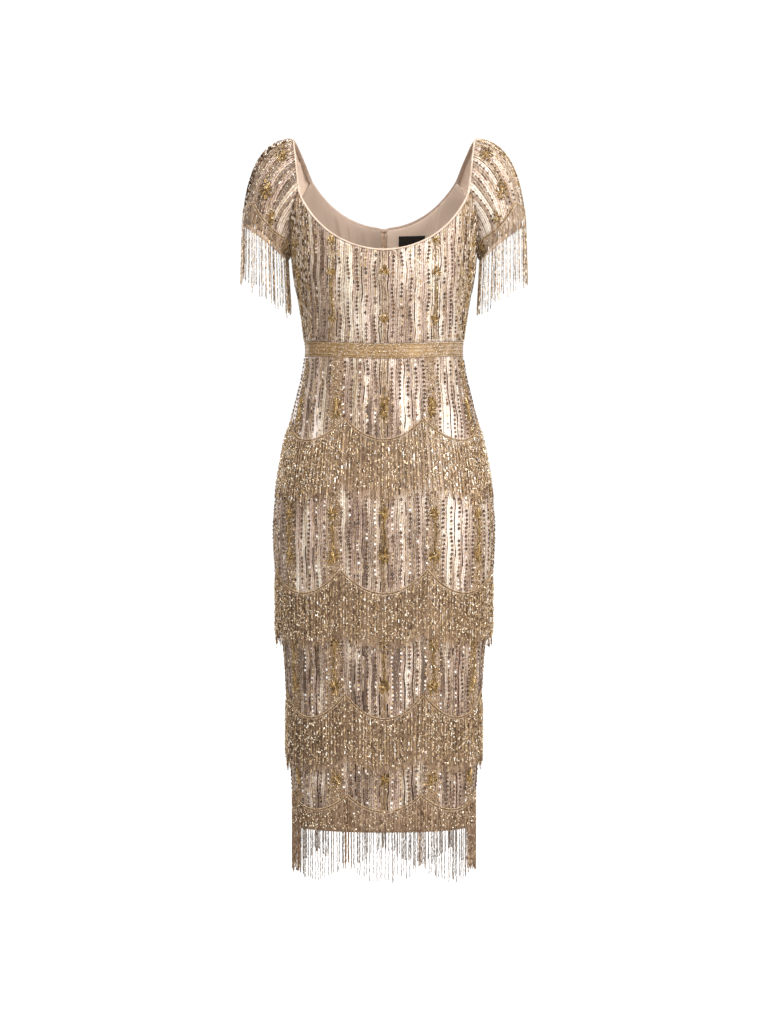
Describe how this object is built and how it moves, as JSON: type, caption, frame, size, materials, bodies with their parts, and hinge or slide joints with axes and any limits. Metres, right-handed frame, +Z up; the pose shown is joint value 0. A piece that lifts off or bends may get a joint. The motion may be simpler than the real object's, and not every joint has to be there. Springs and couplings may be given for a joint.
{
  "type": "sheath dress",
  "caption": "Beaded sheath dress with cap sleeves, a scooped neck, a beaded waistband and scalloped tiers of bead fringe, filled out as worn, with a zip pull tab that swings.",
  "frame": {"origin": "midway between the tops of the two shoulders, where the wearer holds the dress up", "axes": "+Z up, the front of the dress towards -Y and the wearer's left side towards +X"},
  "size_m": [0.446, 0.2474, 1.1346],
  "materials": {
    "beaded_cloth": "nude net covered with upright rows of cup sequins, bugle and seed beads",
    "waistband_beads": "level rows of small gold beads",
    "lining": "plain matt nude lining",
    "neck_binding": "pale satin bias strip",
    "label": "blank black woven label",
    "bead_cord": "twisted rows of bronze and gold beads",
    "bead_fringe": "hanging strands of bronze and champagne glass beads",
    "zip_tape": "matt woven zip tape",
    "zip_metal": "satin champagne-coloured metal"
  },
  "bodies": {
    "dress": {"bodice_front": "beaded_cloth", "bodice_back_left": "beaded_cloth", "bodice_back_right": "beaded_cloth", "lining_back_left": "lining", "lining_back_right": "lining", "neck_binding": "neck_binding", "neck_label": "label", "waistband_front": "waistband_beads", "waistband_back_left": "waistband_beads", "waistband_back_right": "waistband_beads", "skirt_front": "beaded_cloth", "skirt_back_left": "beaded_cloth", "skirt_back_right": "beaded_cloth", "sleeve_left": "beaded_cloth", "sleeve_right": "beaded_cloth", "sleeve_cord_left": "bead_cord", "sleeve_cord_right": "bead_cord", "sleeve_fringe_left": "bead_fringe", "sleeve_fringe_right": "bead_fringe", "tier_cord_1": "bead_cord", "tier_cord_2": "bead_cord", "tier_cord_3": "bead_cord", "tier_cord_4": "bead_cord", "tier_fringe_1": "bead_fringe", "tier_fringe_2": "bead_fringe", "tier_fringe_3": "bead_fringe", "tier_fringe_4": "bead_fringe", "zip_tape_left": "zip_tape", "zip_tape_right": "zip_tape", "zip_slider": "zip_metal"},
    "pull_tab": {"zip_pull_tab": "zip_metal"}
  },
  "joints": [
    {"name": "pull_tab_hinge", "type": "hinge", "parent": "dress", "child": "pull_tab", "pos_m": [0, 0.10668, -0.1302], "axis": [1, 0, 0], "range_deg": [-8, 160]}
  ]
}
